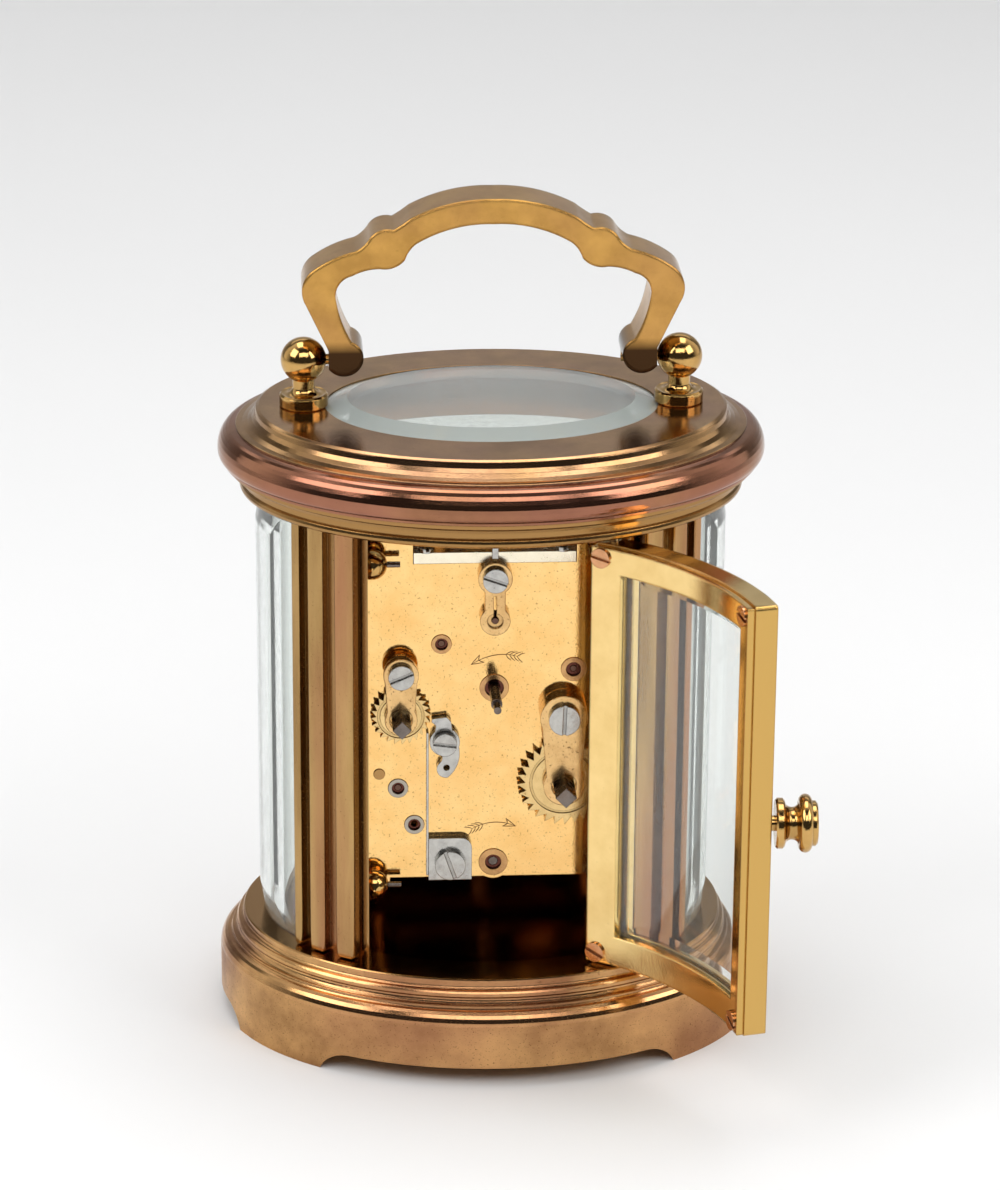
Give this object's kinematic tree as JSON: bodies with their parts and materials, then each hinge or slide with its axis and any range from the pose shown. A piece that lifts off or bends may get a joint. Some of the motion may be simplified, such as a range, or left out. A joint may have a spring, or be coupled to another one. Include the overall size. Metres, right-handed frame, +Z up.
{
  "type": "oval carriage clock",
  "caption": "Oval brass carriage clock with reeded pillars, curved bevelled glasses, a swinging bail handle and an open glass back door over its movement.",
  "frame": {"origin": "middle of the footprint, on the ground plane under the feet", "axes": "+X along the long axis of the oval, the hinge side of the back door at -X; +Y towards the back door, the dial faces -Y; +Z up"},
  "size_m": [0.0912, 0.0887, 0.1375],
  "materials": {
    "case_brass": "patinated, satin",
    "polished_brass": "polished",
    "gilt_brass": "gilt, bright",
    "steel": "polished",
    "blued_steel": "blued",
    "copper": "coppered, polished",
    "glass": "clear, bevelled",
    "enamel": "glossy"
  },
  "bodies": {
    "case": {"base_plinth": "case_brass", "cornice_ring": "case_brass", "top_plate": "case_brass", "top_glass": "glass", "top_glass_retainer": "case_brass", "pillar_back_left": "case_brass", "pillar_back_right": "case_brass", "pillar_front_left": "case_brass", "pillar_front_right": "case_brass", "side_glass_left": "glass", "side_glass_right": "glass", "front_glass": "glass", "finials": "polished_brass", "case_screws": "steel", "front_plate": "gilt_brass", "back_plate": "gilt_brass", "plate_pillars": "gilt_brass", "taper_pins": "steel", "movement_bars": "gilt_brass", "movement_screws": "steel", "plate_bushes": "copper", "contrate_cock": "gilt_brass", "time_bridge": "gilt_brass", "alarm_bridge": "gilt_brass", "spring_block": "steel", "click_spring": "steel", "platform_plate": "gilt_brass", "balance_cock": "gilt_brass", "dial_mask": "gilt_brass", "dials": "enamel"},
    "door": {"door_frame": "polished_brass", "door_glass": "glass", "door_retainer": "polished_brass", "door_screws": "copper", "door_knob": "polished_brass", "door_pins": "steel"},
    "handle": {"handle": "polished_brass"},
    "minute": {"centre_arbor": "steel", "centre_wheel": "gilt_brass", "cannon_pinion": "gilt_brass", "minute_hand": "blued_steel"},
    "hour": {"hour_wheel": "gilt_brass", "hour_hand": "blued_steel"},
    "motion": {"minute_wheel": "gilt_brass"},
    "barrel": {"barrel": "gilt_brass"},
    "intermediate": {"intermediate_wheel": "gilt_brass"},
    "fourth": {"fourth_wheel": "gilt_brass"},
    "contrate": {"contrate_wheel": "gilt_brass"},
    "time_winding": {"time_winding_arbor": "steel", "time_ratchet": "steel"},
    "alarm_barrel": {"alarm_barrel": "gilt_brass"},
    "alarm_train": {"alarm_wheel": "gilt_brass"},
    "alarm_winding": {"alarm_winding_arbor": "steel", "alarm_ratchet": "steel"},
    "alarm_set": {"alarm_arbor": "steel", "alarm_hand": "blued_steel"},
    "balance": {"balance_wheel": "gilt_brass"},
    "regulator": {"regulator": "steel"},
    "alarm_click": {"alarm_click": "steel"},
    "time_click": {"time_click": "steel"}
  },
  "joints": [
    {"name": "door_hinge", "type": "hinge", "parent": "case", "child": "door", "pos_m": [-0.0178, 0.02315, 0.0533], "axis": [0, 0, 1], "range_deg": [-125.8, 0]},
    {"name": "handle_swing", "type": "hinge", "parent": "case", "child": "handle", "pos_m": [0, 0, 0.1106], "axis": [1, 0, 0], "range_deg": [-95, 95]},
    {"name": "minute_spin", "type": "hinge", "parent": "case", "child": "minute", "pos_m": [0, 0, 0.0594], "axis": [0, 1, 0], "continuous": true},
    {"name": "hour_spin", "type": "hinge", "parent": "case", "child": "hour", "pos_m": [0, 0, 0.0594], "axis": [0, 1, 0], "continuous": true},
    {"name": "motion_spin", "type": "hinge", "parent": "case", "child": "motion", "pos_m": [0.0062, 0, 0.0558], "axis": [0, 1, 0], "continuous": true},
    {"name": "barrel_spin", "type": "hinge", "parent": "case", "child": "barrel", "pos_m": [-0.0111, 0, 0.0435], "axis": [0, 1, 0], "continuous": true},
    {"name": "intermediate_spin", "type": "hinge", "parent": "case", "child": "intermediate", "pos_m": [-0.0126, 0, 0.0624], "axis": [0, 1, 0], "continuous": true},
    {"name": "fourth_spin", "type": "hinge", "parent": "case", "child": "fourth", "pos_m": [0.0084, 0, 0.067], "axis": [0, 1, 0], "continuous": true},
    {"name": "contrate_spin", "type": "hinge", "parent": "case", "child": "contrate", "pos_m": [0, 0, 0.0714], "axis": [0, 1, 0], "continuous": true},
    {"name": "time_winding_spin", "type": "hinge", "parent": "case", "child": "time_winding", "pos_m": [-0.0111, 0.018, 0.0435], "axis": [0, 1, 0], "continuous": true},
    {"name": "alarm_barrel_spin", "type": "hinge", "parent": "case", "child": "alarm_barrel", "pos_m": [0.0149, 0, 0.0553], "axis": [0, 1, 0], "continuous": true},
    {"name": "alarm_train_spin", "type": "hinge", "parent": "case", "child": "alarm_train", "pos_m": [0.0153, 0, 0.0423], "axis": [0, 1, 0], "continuous": true},
    {"name": "alarm_winding_spin", "type": "hinge", "parent": "case", "child": "alarm_winding", "pos_m": [0.0149, 0.018, 0.0553], "axis": [0, 1, 0], "continuous": true},
    {"name": "alarm_set_spin", "type": "hinge", "parent": "case", "child": "alarm_set", "pos_m": [0, 0, 0.0291], "axis": [0, 1, 0], "continuous": true},
    {"name": "balance_swing", "type": "hinge", "parent": "case", "child": "balance", "pos_m": [0, 0.0065, 0.086], "axis": [0, 0, 1], "range_deg": [-150, 150], "stiffness_Nm_per_rad": 0.00000185},
    {"name": "regulator_swing", "type": "hinge", "parent": "case", "child": "regulator", "pos_m": [0, 0.0065, 0.09], "axis": [0, 0, 1], "range_deg": [-12, 12]},
    {"name": "alarm_click_lift", "type": "hinge", "parent": "case", "child": "alarm_click", "pos_m": [0.0079, 0.0129, 0.0507], "axis": [0, -1, 0], "range_deg": [0, 10], "stiffness_Nm_per_rad": 0.0005},
    {"name": "time_click_lift", "type": "hinge", "parent": "case", "child": "time_click", "pos_m": [-0.0189, 0.0129, 0.0502], "axis": [0, 1, 0], "range_deg": [0, 10], "stiffness_Nm_per_rad": 0.0005}
  ],
  "couplings": [
    {"joint": "barrel_spin", "follows": "minute_spin", "ratio": 0.083333},
    {"joint": "intermediate_spin", "follows": "minute_spin", "ratio": -0.25},
    {"joint": "fourth_spin", "follows": "minute_spin", "ratio": -4},
    {"joint": "contrate_spin", "follows": "minute_spin", "ratio": 16},
    {"joint": "hour_spin", "follows": "minute_spin", "ratio": 0.083333},
    {"joint": "motion_spin", "follows": "minute_spin", "ratio": -0.33333},
    {"joint": "alarm_train_spin", "follows": "alarm_barrel_spin", "ratio": -4}
  ]
}
